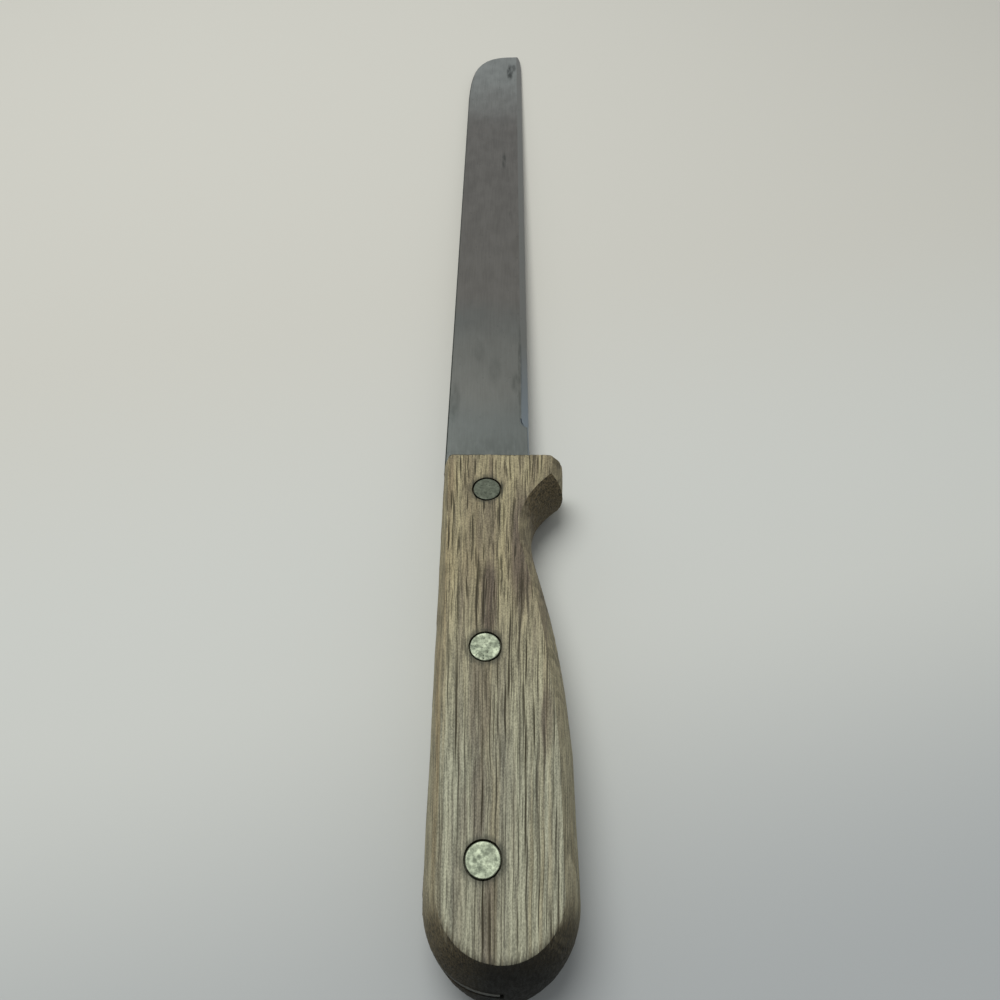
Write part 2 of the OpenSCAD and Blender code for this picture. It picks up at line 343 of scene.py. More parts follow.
# Long pores, bands and stains that stand out on the wood: grain across, middle along, width and length, all
# in millimetres in the frame, then how strongly the mark shows
DARK_MARKS = (
    (-10.6, -74, 0.35, 15, 0.9), (-8.5, -71, 0.3, 13, 0.7), (-11.5, -83, 0.4, 10, 1.0),
    (-11.8, -91, 0.35, 8, 0.9), (-2.6, -67, 0.3, 6, 0.8), (5.2, -76, 0.3, 9, 0.8), (6.2, -69, 0.3, 7, 0.8),
    (-1.0, -84, 0.45, 10, 1.0), (0.1, -84, 0.35, 8, 0.8), (2.5, -84, 0.35, 10, 0.9),
    (-6.8, -92, 0.4, 8, 0.9), (-5.6, -101, 0.4, 9, 0.9), (-10.0, -109, 0.4, 15, 1.0),
    (-5.9, -109, 0.5, 19, 1.0), (-4.4, -109, 0.5, 16, 1.0), (-0.9, -112, 0.35, 14, 0.8),
    (-0.6, -125, 0.4, 14, 0.9), (4.7, -106, 0.4, 16, 0.9), (4.3, -120, 0.4, 14, 0.9),
    (6.1, -107, 0.3, 12, 0.7), (2.0, -119, 0.45, 14, 1.0), (1.9, -129, 0.5, 10, 1.0),
    (1.2, -137, 0.5, 14, 1.0), (6.0, -125, 0.45, 12, 1.0), (5.5, -135, 0.4, 12, 0.9),
    (5.8, -146, 0.4, 16, 1.0), (5.9, -159, 0.5, 16, 1.0), (6.3, -170, 0.45, 14, 0.9),
    (6.6, -180, 0.4, 12, 0.8), (7.6, -140, 0.5, 12, 1.0), (8.4, -152, 0.4, 14, 0.9),
    (9.0, -164, 0.35, 12, 0.8), (9.3, -175, 0.4, 12, 0.9), (8.6, -128, 0.3, 14, 0.8),
    (12.4, -140, 0.4, 12, 0.9), (12.3, -152, 0.35, 14, 0.8), (13.2, -164, 0.4, 14, 0.9),
    (13.8, -175, 0.45, 14, 0.9), (10.2, -147, 0.35, 12, 0.7), (10.2, -168, 0.35, 14, 0.7),
    (11.2, -176, 0.35, 10, 0.7), (12.2, -180, 0.5, 10, 0.8), (15.5, -164, 0.4, 16, 0.8),
    (-10.3, -125, 0.35, 16, 0.8), (-10.6, -137, 0.5, 24, 1.0), (-10.0, -155, 0.35, 26, 0.8),
    (-14.1, -165, 0.3, 28, 0.7), (-4.3, -146, 0.35, 12, 0.7), (-4.2, -157, 0.45, 12, 1.0),
    (-3.8, -178, 0.6, 16, 1.0), (-0.9, -154, 0.4, 18, 0.9), (-0.8, -167, 0.35, 14, 0.7),
    (-2.2, -180, 0.8, 12, 0.9), (-1.0, -178, 0.3, 20, 0.8), (-5.6, -177, 0.3, 14, 0.7),
    (-2.4, -139, 0.35, 14, 0.9), (-1.4, -139, 0.35, 12, 0.8), (-0.4, -139, 0.35, 10, 0.8),
    (-3.3, -132, 0.3, 10, 0.7), (-6.2, -133, 0.3, 10, 0.7), (-2.3, -147, 0.35, 10, 0.8),
    (0.0, -147, 0.35, 10, 0.7), (-2.6, -110, 0.3, 14, 0.6), (-7.8, -170, 0.3, 14, 0.6),
    (4.2, -146, 0.3, 14, 0.7), (4.3, -164, 0.3, 14, 0.8), (4.3, -180, 0.35, 10, 0.8),
)
PALE_MARKS = (
    (-0.2, -98.5, 0.55, 7, 0.9), (0.3, -108, 0.5, 14, 0.6), (-12.0, -142, 2.2, 60, 0.7),
    (-12.2, -101, 2.4, 36, 0.5), (-1.0, -137, 0.45, 14, 0.8), (2.9, -132, 0.7, 34, 0.7),
    (-12.3, -166, 2.0, 26, 0.3), (7.6, -166, 2.6, 44, 0.8), (14.4, -165, 1.2, 26, 0.6),
    (-8.4, -176, 1.6, 20, 0.4), (5.3, -160, 0.8, 36, 0.5), (-9.5, -87, 3, 22, 0.35),
    (-11, -109, 3, 22, 0.4), (-8.2, -138, 1.6, 26, 0.4), (11.2, -152, 1.4, 30, 0.4),
)
BROWN_MARKS = (
    (-3.2, -109, 4.8, 22, 0.9), (-5.0, -156, 4.6, 22, 0.65), (10.6, -139, 3.2, 15, 0.7),
    (-8.6, -160, 2.2, 12, 0.5), (-9.5, -174, 4.0, 18, 0.4), (0.2, -71, 1.5, 9, 0.35),
    (3.2, -156, 1.6, 24, 0.35), (-3.4, -96, 5.5, 40, 0.45), (4.8, -94, 7.5, 34, 0.88),
    (-5.2, -136, 8.0, 24, 0.6), (-2.6, -177, 5.0, 22, 0.7), (-2.5, -150, 10, 90, 0.35),
    (8.2, -110, 3, 26, 0.35),
)
WARM_MARKS = (
    (-12.6, -104, 3.2, 34, 0.2), (-14.8, -138, 1.3, 36, 0.75), (-15.5, -160, 1.4, 20, 0.45),
    (-13, -72, 5, 16, 0.15),
)
# Where the rounded side is darkest
DARKER_SIDE_MARKS = ((9.8, -112, 2.6, 26, 0.42), (8.6, -80, 6, 12, 0.6))

# How much of the rounded sides' colour is dirt from hands
SIDE_SHARE = 0.65

# Middle, in metres, of the round end of the handle's flat faces, whose radius is 12.5 mm
FLAT_END = (0.0003, -0.17325, 0)


def grain_place(tree, position):
    """Coordinates that follow the grain: across, along and up, in millimetres, gently swaying."""
    place = add(tree, VECTOR_MATH, {0: position, 3: 1 / MM}, operation="SCALE")
    split = add(tree, SEPARATE, {0: place}).node
    ahead = add(tree, MATH, {0: split.outputs["Y"], 1: -GRAIN_MIDDLE}, operation="ADD")
    spread = add(tree, MATH, {0: ahead, 1: GRAIN_SPREAD, 2: 1}, operation="MULTIPLY_ADD")
    across = add(tree, MATH, {0: split.outputs["X"], 1: spread}, operation="DIVIDE")
    # Sways of half a millimetre at most over about 40 mm of length, and half as large ones over about 9 mm
    for width, length, detail, most in ((8, 40, 1, 0.5), (3, 9, 0, 0.25)):
        local = add(tree, VECTOR_MATH, {0: place, 1: (1 / width, 1 / length, 1 / width)},
                    operation="MULTIPLY")
        noise = add(tree, "ShaderNodeTexNoise", {"Vector": local, "Scale": 1, "Detail": detail})
        sway = add(tree, MAP_RANGE, {"Value": noise, "To Min": -most, "To Max": most})
        across = add(tree, MATH, {0: across, 1: sway}, operation="ADD")
    return add(tree, "ShaderNodeCombineXYZ", {"X": across, "Y": split.outputs["Y"], "Z": split.outputs["Z"]})


def streaks(tree, place, size, seed, low, high, detail=1.0, least=0.0, most=1.0):
    """Random streaks along the grain, of a strength from least to most.

    size is their width, length and depth in millimetres. Noise of low gives the least, and of high the most.
    """
    shrink = [1 / v for v in size]
    local = add(tree, VECTOR_MATH, {0: place, 1: shrink, 2: (seed, seed, seed)}, operation="MULTIPLY_ADD")
    noise = add(tree, "ShaderNodeTexNoise", {"Vector": local, "Scale": 1, "Detail": detail})
    return add(tree, MAP_RANGE,
               {"Value": noise, "From Min": low, "From Max": high, "To Min": least, "To Max": most}, **SMOOTH)


def dashes(tree, place, size, seed, reach):
    """Crisp dashes along the grain, 0 to 1, of varied size and strength, one in each stretched cell.

    size is the cells' width and length in millimetres, and reach is half a dash's share of them.
    """
    split = add(tree, SEPARATE, {0: place}).node
    # The cells slant down through the wood, so that the sides show dashes as well
    slanted = add(tree, MATH, {0: split.outputs["Z"], 1: 0.7, 2: split.outputs["X"]},
                  operation="MULTIPLY_ADD")
    local = add(tree, "ShaderNodeCombineXYZ", {"X": slanted, "Y": split.outputs["Y"]})
    local = add(tree, VECTOR_MATH, {0: local, 1: (1 / size[0], 1 / size[1], 0), 2: (seed, seed, 0)},
                operation="MULTIPLY_ADD")
    cells = add(tree, "ShaderNodeTexVoronoi", {"Vector": local, "Scale": 1}, voronoi_dimensions="2D").node
    chance = add(tree, SEPARATE, {0: cells.outputs["Color"]}).node
    own = add(tree, MAP_RANGE, {"Value": chance.outputs["X"], "To Min": 0.55 * reach, "To Max": 1.4 * reach})
    share = add(tree, MATH, {0: cells.outputs["Distance"], 1: own}, operation="DIVIDE")
    dash = add(tree, MAP_RANGE, {"Value": share, "From Min": 1.05, "From Max": 0.65}, **SMOOTH)
    strength = add(tree, MAP_RANGE, {"Value": chance.outputs["Y"], "To Min": 0.45})
    return add(tree, MATH, {0: dash, 1: strength}, operation="MULTIPLY")


def marks(tree, place, listed, widen=1.0, depth=math.inf):
    """The strongest of a list of long marks, 0 to 1, each a slim ellipse with soft sides.

    depth is how many millimetres they reach down from the handle's upper face.
    """
    top = GRIP_HIGH.z / MM
    total = None
    for across, along, width, length, strength in listed:
        half_width = 0.5 * width * widen
        half_length = 0.6 * length
        shrink = (1 / half_width, 1 / half_length, 1 / depth)
        shift = (-across / half_width, -along / half_length, -top / depth)
        local = add(tree, VECTOR_MATH, {0: place, 1: shrink, 2: shift}, operation="MULTIPLY_ADD")
        reach = add(tree, VECTOR_MATH, {0: local}, "Value", operation="LENGTH")
        mark = add(tree, MAP_RANGE, {"Value": reach, "From Min": 1.3, "From Max": 0.5, "To Max": strength},
                   **SMOOTH)
        total = mark if total is None else add(tree, MATH, {0: total, 1: mark}, operation="MAXIMUM")
    return total


def open_pores(tree, place, widen=1.0):
    """Short dashes in front and longer cracks behind, 0 to 1, with the marks that stand out."""
    along = add(tree, SEPARATE, {0: place}, "Y")
    front = add(tree, MAP_RANGE, {"Value": along, "From Min": -135, "From Max": -100}, **SMOOTH)
    # Dashes about 0.3 mm wide, 6 and 9 mm long
    short = dashes(tree, place, (0.6, 13 / widen), 3.1, 0.235 * widen)
    middling = dashes(tree, place, (0.85, 26 / widen), 9.4, 0.175 * widen)
    both = add(tree, MATH, {0: short, 1: middling}, operation="MAXIMUM")
    less = add(tree, MAP_RANGE, {"Value": front, "To Min": 0.45})
    both = add(tree, MATH, {0: both, 1: less}, operation="MULTIPLY")
    # Cracks as wide that run on for centimetres, darker towards the butt
    cracks = dashes(tree, place, (1, 100 / widen), 6.1, 0.16 * widen)
    less = add(tree, MAP_RANGE, {"Value": front, "To Min": 0.85, "To Max": 0.5})
    cracks = add(tree, MATH, {0: cracks, 1: less}, operation="MULTIPLY")
    named = marks(tree, place, DARK_MARKS, widen, depth=4)
    every = add(tree, MATH, {0: both, 1: cracks}, operation="MAXIMUM")
    return add(tree, MATH, {0: every, 1: named}, operation="MAXIMUM")


def rivet_distance(tree, position):
    """How far a point lies from the nearest rivet's axis."""
    flat = add(tree, VECTOR_MATH, {0: position, 1: (1, 1, 0)}, operation="MULTIPLY")
    nearest = None
    for axis in RIVET_AXES:
        away = add(tree, VECTOR_MATH, {0: flat, 1: (axis.x, axis.y, 0)}, "Value", operation="DISTANCE")
        nearest = away if nearest is None else add(tree, MATH, {0: nearest, 1: away}, operation="MINIMUM")
    return nearest


def relief_tree(sizes):
    """Geometry nodes that sink the open pores and shallow wear into the wood's surface."""
    tree = bpy.data.node_groups.new("open_grain_relief", "GeometryNodeTree")
    tree.interface.new_socket("Geometry", in_out="INPUT", socket_type="NodeSocketGeometry")
    tree.interface.new_socket("Geometry", in_out="OUTPUT", socket_type="NodeSocketGeometry")
    position = add(tree, "GeometryNodeInputPosition")
    place = grain_place(tree, position)
    pores = open_pores(tree, place, widen=1.25)
    worn = streaks(tree, place, (7, 16, 7), 8.3, 0.3, 0.7)
    pores = add(tree, MATH, {0: pores, 1: -sizes.pore_depth}, operation="MULTIPLY")
    sink = add(tree, MATH, {0: worn, 1: -sizes.wear_depth, 2: pores}, operation="MULTIPLY_ADD")
    normal = add(tree, "GeometryNodeInputNormal")
    offset = add(tree, VECTOR_MATH, {0: normal, 3: sink}, operation="SCALE")
    whole = add(tree, "NodeGroupInput")
    moved = add(tree, "GeometryNodeSetPosition", {"Geometry": whole, "Offset": offset})
    add(tree, "NodeGroupOutput", {"Geometry": moved})
    return tree


def dried_hardwood(colours):
    """Open-pored hardwood, sanded bare and dried out by washing: matt, streaked, and dark at the ends, partly
    with painted shade.
    """
    material, tree = blank_material("dried_open_pored_hardwood")
    position = add(tree, "ShaderNodeTexCoord", output="Object")
    place = grain_place(tree, position)
    split = add(tree, SEPARATE, {0: place}).node
    along = split.outputs["Y"]
    normal = add(tree, "ShaderNodeNewGeometry", output="Normal")
    facing = add(tree, VECTOR_MATH, {0: normal}, operation="ABSOLUTE")
    facing = add(tree, SEPARATE, {0: facing}).node

    # Broad bands of paler wood, 2.2 mm wide and 60 mm long
    bands = streaks(tree, place, (2.2, 60, 5), 1.7, 0.38, 0.62, 2)
    # The butt end is bleached the most, unevenly from band to band
    washed = add(tree, MAP_RANGE, {"Value": along, "From Min": -100, "From Max": -150, "To Max": 0.75})
    uneven = streaks(tree, place, (2, 60, 5), 4.6, 0.3, 0.5, least=0.45)
    washed = add(tree, MATH, {0: washed, 1: uneven}, operation="MULTIPLY")
    # Faint bands of brown wood, 1.5 mm wide, and the strong ones that are listed
    brown = streaks(tree, place, (1.5, 45, 4), 5.9, 0.52, 0.74, 2, most=0.45)
    named = marks(tree, place, BROWN_MARKS)
    brown = add(tree, MATH, {0: brown, 1: named}, operation="MAXIMUM")
    warm = marks(tree, place, WARM_MARKS)
    # Pale bands, and crisp raised fibres that are as pale
    light = add(tree, MIX, {0: washed, MIX_A: colours.pale, MIX_B: colours.bleached}, **RGBA)
    pale = marks(tree, place, PALE_MARKS)
    raised = dashes(tree, place, (0.8, 22), 12.6, 0.14)
    raised = add(tree, MATH, {0: raised, 1: 0.7}, operation="MULTIPLY")
    pale = add(tree, MATH, {0: pale, 1: raised}, operation="MAXIMUM")
    # The rounded sides keep the dirt of the hand, and are darker still behind the notch and at the lug
    side = add(tree, MAP_RANGE, {"Value": facing.outputs["X"], "From Min": 0.12, "From Max": 0.5,
                                 "To Max": SIDE_SHARE}, **SMOOTH)
    darker_side = marks(tree, place, DARKER_SIDE_MARKS)
    darker_side = add(tree, MATH, {0: darker_side, 1: side}, operation="MULTIPLY")
    darker_side = add(tree, MATH, {0: darker_side, 1: 1 / SIDE_SHARE}, operation="MULTIPLY")
    tone = colours.middle
    for share, colour in ((bands, colours.pale), (washed, colours.bleached), (brown, colours.brown),
                          (warm, colours.warm), (pale, light), (side, colours.side),
                          (darker_side, colours.brown)):
        tone = add(tree, MIX, {0: share, MIX_A: tone, MIX_B: colour}, **RGBA)

    # Fibres 0.7 mm and 0.4 mm wide lighten and darken every band, and so does a grit of fibre ends, drawn
    # 0.3 mm wide because the real ones are too fine to show
    fibres = streaks(tree, place, (0.7, 22, 1.5), 2.3, 0.32, 0.68, 2)
    fine = streaks(tree, place, (0.38, 7, 0.8), 7.7, 0.36, 0.64, 1)
    grit = streaks(tree, place, (0.28, 0.45, 0.28), 5.1, 0.3, 0.7)
    both = add(tree, MATH, {0: fibres, 1: 0.8, 2: fine}, operation="MULTIPLY_ADD")
    all_three = add(tree, MATH, {0: grit, 1: 1.1, 2: both}, operation="MULTIPLY_ADD")
    shade = add(tree, MAP_RANGE,
                {"Value": all_three, "From Min": 0.25, "From Max": 2.65, "To Min": 0.48, "To Max": 1.3})
    tone = add(tree, VECTOR_MATH, {0: tone, 3: shade}, operation="SCALE")

    # The pores hold less dirt where hands have rubbed the sides
    pores = open_pores(tree, place)
    held = add(tree, MAP_RANGE, {"Value": side, "From Max": SIDE_SHARE, "To Min": 0.95, "To Max": 0.5})
    dirt = add(tree, MATH, {0: pores, 1: held}, operation="MULTIPLY")

    # End grain drinks in water and dirt, so the wood darkens raggedly where the surface turns across the
    # grain, and sooner from the notch forwards. Part of this near-black is painted shade: the butt and the
    # notch wall face away from the light.
    notch = add(tree, MAP_RANGE, {"Value": along, "From Min": -110, "From Max": -98, "To Max": 0.16})
    ragged = streaks(tree, place, (0.35, 4, 1), 3.7, 0.3, 0.7)
    turned = add(tree, MATH, {0: facing.outputs["Y"], 1: notch}, operation="ADD")
    turned = add(tree, MATH, {0: ragged, 1: 0.16, 2: turned}, operation="MULTIPLY_ADD")
    ends = add(tree, MAP_RANGE, {"Value": turned, "From Min": 0.36, "From Max": 0.68}, **SMOOTH)
    # The tang's slot, which has the only level faces near mid height, gets the same near-black as painted
    # shade
    level = add(tree, MATH, {0: split.outputs["Z"], 1: GRIP_MIDDLE / MM, 2: 1.2}, operation="COMPARE")
    flat = add(tree, MATH, {0: facing.outputs["Z"], 1: 0.9}, operation="GREATER_THAN")
    slot = add(tree, MATH, {0: level, 1: flat}, operation="MULTIPLY")
    # The dark also runs in a ragged fringe along the round end of the flat faces
    apart = add(tree, VECTOR_MATH, {0: position, 1: FLAT_END}, operation="SUBTRACT")
    apart = add(tree, VECTOR_MATH, {0: apart, 1: (1 / MM, 1 / MM, 0)}, operation="MULTIPLY")
    reach = add(tree, VECTOR_MATH, {0: apart}, "Value", operation="LENGTH")
    reach = add(tree, MATH, {0: reach, 1: ragged}, operation="ADD")
    fringe = add(tree, MAP_RANGE, {"Value": reach, "From Min": 11.6, "From Max": 13.4, "To Max": 0.9})
    behind = add(tree, MAP_RANGE, {"Value": along, "From Min": -172, "From Max": -179})
    fringe = add(tree, MATH, {0: fringe, 1: behind}, operation="MULTIPLY")
    for more in (slot, fringe):
        ends = add(tree, MATH, {0: ends, 1: more}, operation="MAXIMUM")
    # Specks of cleaner fibre show in the notch and on the butt's back side, and fewer at the butt's end
    specks = streaks(tree, place, (0.3, 1.3, 0.3), 4.9, 0.36, 0.66, 2, least=0.25)
    slanted = add(tree, VECTOR_MATH, {0: place, 1: (-1.6, 1, 0)}, "Value", operation="DOT_PRODUCT")
    cleaner = add(tree, MAP_RANGE, {"Value": slanted, "From Min": -185, "From Max": -150,
                                    "To Min": 0.05, "To Max": 0.95})
    upper = add(tree, MAP_RANGE, {"Value": along, "From Min": -188, "From Max": -170})
    cleaner = add(tree, MATH, {0: cleaner, 1: upper}, operation="MAXIMUM")
    specks = add(tree, MATH, {0: specks, 1: cleaner}, operation="MULTIPLY")
    soaked_and_shaded = add(tree, MIX, {0: specks, MIX_A: colours.end_grain_and_shade, MIX_B: colours.end_fibre}, **RGBA)

    # Grime fades out round each rivet head, in a ragged ring that is drawn out along the grain
    drawn_out = streaks(tree, place, (0.7, 4, 1), 7.1, 0.3, 0.7)
    away = add(tree, MATH, {0: drawn_out, 1: -0.6 * MM, 2: rivet_distance(tree, position)},
               operation="MULTIPLY_ADD")
    halo = add(tree, MAP_RANGE,
               {"Value": away, "From Min": 5.2 * MM, "From Max": 3.4 * MM, "To Max": 0.6}, **SMOOTH)
    for share, colour in ((dirt, colours.pore), (ends, soaked_and_shaded), (halo, colours.grime)):
        tone = add(tree, MIX, {0: share, MIX_A: tone, MIX_B: colour}, **RGBA)

    # Fine raised fibres catch the light; the pores are cut in the mesh as well
    height = add(tree, MATH, {0: pores, 1: -1.5, 2: all_three}, operation="MULTIPLY_ADD")
    bump = add(tree, "ShaderNodeBump", {"Height": height, "Strength": 0.6, "Distance": 0.05 * MM})
    rough = add(tree, MAP_RANGE, {"Value": fibres, "To Min": 0.68, "To Max": 0.85})
    shader = add(tree, "ShaderNodeBsdfPrincipled", {"Base Color": tone, "Roughness": rough, "Normal": bump,
                                                    "IOR": 1.5, "Specular IOR Level": 0.3})
    add(tree, "ShaderNodeOutputMaterial", {"Surface": shader})
    return material


# Stains on the blade, the last one painted shade just in front of the handle: across, middle along, width and
# length in millimetres in the frame, then strength
BLADE_STAINS_AND_SHADE = (
    (1.6, 175, 3.0, 12, 0.9), (3.2, 179, 2.2, 6, 0.6), (-0.7, 100, 1.8, 10, 0.6),
    (5.0, -22, 1.3, 34, 0.45), (-3, 40, 2.5, 6, 0.15), (2, 62, 1.6, 5, 0.2),
    (3.5, -27, 2.5, 8, 0.35), (-2.7, -21.5, 4.5, 10, 0.18), (-14.7, -35, 3.0, 14, 0.3),
    (-8.0, -13, 4.0, 9, 0.15), (-4.5, -64, 36, 26, 0.35),
)
# A painted highlight: steel painted lighter and warmer a little in front of the heel, in the same terms
PAINTED_HIGHLIGHT = ((-4.5, -20, 44, 34, 0.42),)

# How strongly patches of tarnish count beside the scratches
TARNISH_SHARE = 1.4


def worn_stainless(colours):
    """Ground stainless steel, dulled by age and dishwashing: soft grey reflections, lengthwise scratches."""
    material, tree = blank_material("worn_ground_stainless_steel")
    position = add(tree, "ShaderNodeTexCoord", output="Object")
    place = add(tree, VECTOR_MATH, {0: position, 3: 1 / MM}, operation="SCALE")
    split = add(tree, SEPARATE, {0: place}).node

    # The steel shifts from cool grey at the heel through warm grey to pale cool grey at the tip
    clouds = add(tree, "ShaderNodeTexNoise", {"Vector": place, "Scale": 1 / 22, "Detail": 3})
    drift = add(tree, MAP_RANGE, {"Value": clouds, "To Min": -14, "To Max": 14})
    along = add(tree, MATH, {0: split.outputs["Y"], 1: drift}, operation="ADD")
    to_tip = add(tree, MAP_RANGE, {"Value": along, "From Min": 122, "From Max": 176}, **SMOOTH)
    to_heel = add(tree, MAP_RANGE, {"Value": along, "From Min": 20, "From Max": -14}, **SMOOTH)
    # A painted highlight lightens and warms the steel a little in front of the heel
    rubbed = marks(tree, place, PAINTED_HIGHLIGHT)
    tone = colours.body
    for share, colour in ((to_tip, colours.tip), (to_heel, colours.heel), (rubbed, colours.rubbed)):
        tone = add(tree, MIX, {0: share, MIX_A: tone, MIX_B: colour}, **RGBA)

    # Grinding scratches run lengthwise, drawn 0.5 mm wide so that they show, between patches of tarnish
    scratches = streaks(tree, place, (0.5, 9, 1), 4.4, 0.25, 0.75, 3)
    patches = streaks(tree, place, (4, 8, 5), 9.2, 0.3, 0.7, 4)
    both = add(tree, MATH, {0: patches, 1: TARNISH_SHARE, 2: scratches}, operation="MULTIPLY_ADD")
    shade = add(tree, MAP_RANGE,
                {"Value": both, "From Max": 1 + TARNISH_SHARE, "To Min": 0.9, "To Max": 1.28})
    tone = add(tree, VECTOR_MATH, {0: tone, 3: shade}, operation="SCALE")

    # Dark, streaky stains and specks of corrosion, and painted shade just in front of the handle
    streaky = streaks(tree, place, (1.2, 4, 1), 6.6, 0.3, 0.6, 2, least=0.4)
    stains_and_shade = marks(tree, place, BLADE_STAINS_AND_SHADE)
    stains_and_shade = add(tree, MATH, {0: stains_and_shade, 1: streaky}, operation="MULTIPLY")
    specks = streaks(tree, place, (0.9, 1.6, 1), 1.2, 0.7, 0.8, most=0.25)
    # The narrow bevel is ground again and again, so it is brighter than the flat, and bluish at the heel; its
    # brightness is partly a painted reflection of light from the cutting edge's side
    normal = add(tree, "ShaderNodeNewGeometry", output="True Normal")
    facing = add(tree, SEPARATE, {0: normal}, "Z")
    facing = add(tree, MATH, {0: facing}, operation="ABSOLUTE")
    ground_and_sheen = add(tree, MAP_RANGE, {"Value": facing, "From Min": 0.98, "From Max": 0.955})
    run_out = add(tree, MAP_RANGE, {"Value": split.outputs["Y"], "From Min": -8, "From Max": -44})
    bright = add(tree, MIX, {0: run_out, MIX_A: colours.ground_and_sheen, MIX_B: colours.blued}, **RGBA)
    # Painted shade darkens the rounded spine and tip, but not the side of the cutting edge
    rim = add(tree, MAP_RANGE, {"Value": facing, "From Min": 0.96, "From Max": 0.94})
    spine_side = add(tree, MATH, {0: split.outputs["X"], 1: 2}, operation="LESS_THAN")
    rim = add(tree, MATH, {0: rim, 1: spine_side}, operation="MULTIPLY")
    dark = stains_and_shade
    for more in (specks, rim):
        dark = add(tree, MATH, {0: dark, 1: more}, operation="MAXIMUM")
    # Rust has dulled the tang in the wood
    rusted = add(tree, MATH, {0: split.outputs["Y"], 1: GRIP_HIGH.y / MM}, operation="LESS_THAN")
    for share, colour in ((ground_and_sheen, bright), (dark, colours.stain_and_shade), (rusted, colours.rust)):
        tone = add(tree, MIX, {0: share, MIX_A: tone, MIX_B: colour}, **RGBA)
    metal = add(tree, MATH, {0: 1, 1: rusted}, operation="SUBTRACT")

    bump = add(tree, "ShaderNodeBump", {"Height": both, "Strength": 0.25, "Distance": 0.02 * MM})
    rough = add(tree, MAP_RANGE,
                {"Value": both, "From Max": 1 + TARNISH_SHARE, "To Min": 0.36, "To Max": 0.28})
    rough = add(tree, MATH, {0: rusted, 1: 0.5, 2: rough}, operation="MULTIPLY_ADD")
    shader = add(tree, "ShaderNodeBsdfPrincipled",
                 {"Base Color": tone, "Metallic": metal, "Roughness": rough, "Normal": bump})
    add(tree, "ShaderNodeOutputMaterial", {"Surface": shader})
    return material


# The dark patch on the rearmost rivet head, in the same terms as the blade's stains
RIVET_STAINS = ((-1.9, -166.0, 1.9, 1.6, 0.35),)


def nickel_alloy(name, colours, worn):
    """Nickel-coloured copper alloy, pressed smooth, then pitted and tarnished: soft, faintly green shine."""
    material, tree = blank_material(name)
    position = add(tree, "ShaderNodeTexCoord", output="Object")
    place = add(tree, VECTOR_MATH, {0: position, 3: 1 / MM}, operation="SCALE")
    # Patches 2 mm across, mottling 0.75 mm across and a paler rubbed rim
    patches = streaks(tree, place, (2, 2, 2), 2.9, 0.35, 0.65, 1)
    mottle = streaks(tree, place, (0.75, 0.75, 0.75), 5.3, 0.32, 0.68, 3)
    rim = add(tree, MAP_RANGE,
              {"Value": rivet_distance(tree, position), "From Min": 2.8 * MM, "From Max": 3.3 * MM})
    both = add(tree, MATH, {0: mottle, 1: 0.9, 2: patches}, operation="MULTIPLY_ADD")
    both = add(tree, MATH, {0: rim, 1: 0.35, 2: both}, operation="MULTIPLY_ADD")
    blend = add(tree, MAP_RANGE, {"Value": both, "From Max": 1.9})
    low, high = (colours.tarnish, colours.bright) if worn else (colours.dull, colours.dull)
    tone = add(tree, MIX, {0: blend, MIX_A: low, MIX_B: high}, **RGBA)
    shade = add(tree, MAP_RANGE, {"Value": mottle, "To Min": 0.85, "To Max": 1.17})
    tone = add(tree, VECTOR_MATH, {0: tone, 3: shade}, operation="SCALE")
    # Dark flecks of dirt in the pits, fewer on the rearmost head, which has one larger dark patch instead
    flecks = streaks(tree, place, (0.5, 0.5, 0.5), 8.8, 0.64, 0.72)
    along = add(tree, SEPARATE, {0: place}, "Y")
    fewer = add(tree, MAP_RANGE, {"Value": along, "From Min": -150, "From Max": -130, "To Min": 0.3})
    flecks = add(tree, MATH, {0: flecks, 1: fewer}, operation="MULTIPLY")
    patch = marks(tree, place, RIVET_STAINS)
    flecks = add(tree, MATH, {0: flecks, 1: patch}, operation="MAXIMUM")
    tone = add(tree, MIX, {0: flecks, MIX_A: tone, MIX_B: colours.fleck}, **RGBA)
    bump = add(tree, "ShaderNodeBump", {"Height": both, "Strength": 0.5, "Distance": 0.04 * MM})
    rough = add(tree, MAP_RANGE, {"Value": blend, "To Min": 0.65, "To Max": 0.55})
    shader = add(tree, "ShaderNodeBsdfPrincipled",
                 {"Base Color": tone, "Metallic": 1.0, "Roughness": rough, "Normal": bump})
    add(tree, "ShaderNodeOutputMaterial", {"Surface": shader})
    return material


def painted_floor(colours):
    """Matt pale board, cooler beside the handle, with painted shadow greying it towards the butt end of the
    knife.
    """
    material, tree = blank_material("matt_pale_board")
    position = add(tree, "ShaderNodeTexCoord", output="Object")
    along = add(tree, VECTOR_MATH, {0: position, 1: (-0.25, 1, 0)}, "Value", operation="DOT_PRODUCT")
    tone = colours.floor_far
    # The near floor's grey is painted shadow
    for start, end, colour in ((0.04, -0.09, colours.floor_beside), (-0.106, -0.211, colours.floor_near_shadow)):
        share = add(tree, MAP_RANGE, {"Value": along, "From Min": start, "From Max": end}, **SMOOTH)
        tone = add(tree, MIX, {0: share, MIX_A: tone, MIX_B: colour}, **RGBA)
    shader = add(tree, "ShaderNodeBsdfPrincipled",
                 {"Base Color": tone, "Roughness": 0.9, "Specular IOR Level": 0.1})
    add(tree, "ShaderNodeOutputMaterial", {"Surface": shader})
    return material


